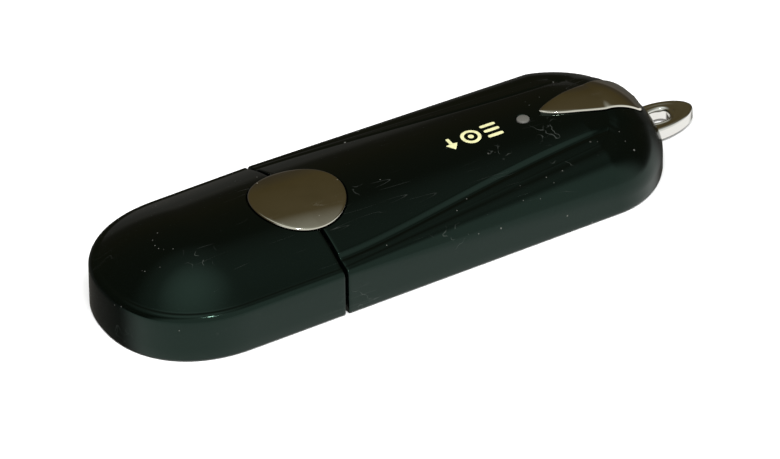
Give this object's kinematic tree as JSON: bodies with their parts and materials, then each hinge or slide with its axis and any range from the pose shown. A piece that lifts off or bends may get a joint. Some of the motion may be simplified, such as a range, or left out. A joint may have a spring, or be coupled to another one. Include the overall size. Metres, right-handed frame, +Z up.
{
  "type": "usb flash drive",
  "caption": "Capped USB flash drive with a domed glossy black body, polished disc and tail trim, an activity light and a lanyard eyelet; the cap pulls off the plug.",
  "frame": {"origin": "under the middle of the drive's overall length with its eyelet, on the flat underside", "axes": "+X along the drive from the cap end to the lanyard eyelet, +Y across it, +Z up out of the domed face"},
  "size_m": [0.0668, 0.02, 0.0083],
  "materials": {
    "black_gloss": "high gloss black moulding with fine scratches and dust",
    "black_satin": "satin black moulding",
    "polished_trim": "polished, slightly warm metal plating",
    "polished_metal": "polished plated casting",
    "clear_acrylic": "polished milky clear plastic",
    "plug_steel": "nickel-plated stamped steel",
    "plug_plastic": "white moulded plastic",
    "gold_contact": "gold-plated",
    "board": "green solder mask",
    "chip_resin": "moulded epoxy package with tinned leads",
    "can_steel": "drawn metal can",
    "led_body": "clear-topped lamp package",
    "ceramic": "fired ceramic with tinned ends",
    "resistor_film": "dark film with tinned ends"
  },
  "bodies": {
    "housing": {"top_cover": "black_gloss", "base_plate": "black_satin", "tail_inlay": "polished_trim", "lanyard_loop": "polished_metal", "light_pipe": "clear_acrylic", "plug_shell": "plug_steel", "plug_insulator": "plug_plastic", "contact_1": "gold_contact", "contact_2": "gold_contact", "contact_3": "gold_contact", "contact_4": "gold_contact", "circuit_board": "board", "flash_chip": "chip_resin", "controller_chip": "chip_resin", "crystal": "can_steel", "status_led": "led_body", "capacitor_1": "ceramic", "capacitor_2": "ceramic", "capacitor_3": "ceramic", "capacitor_4": "ceramic", "resistor_1": "resistor_film", "resistor_2": "resistor_film", "resistor_3": "resistor_film", "resistor_4": "resistor_film"},
    "cap": {"cap_shell": "black_gloss", "cap_badge": "polished_trim"}
  },
  "joints": [
    {"name": "cap_slide", "type": "slide", "parent": "housing", "child": "cap", "axis": [-1, 0, 0], "range_m": [0, 0.03]}
  ]
}
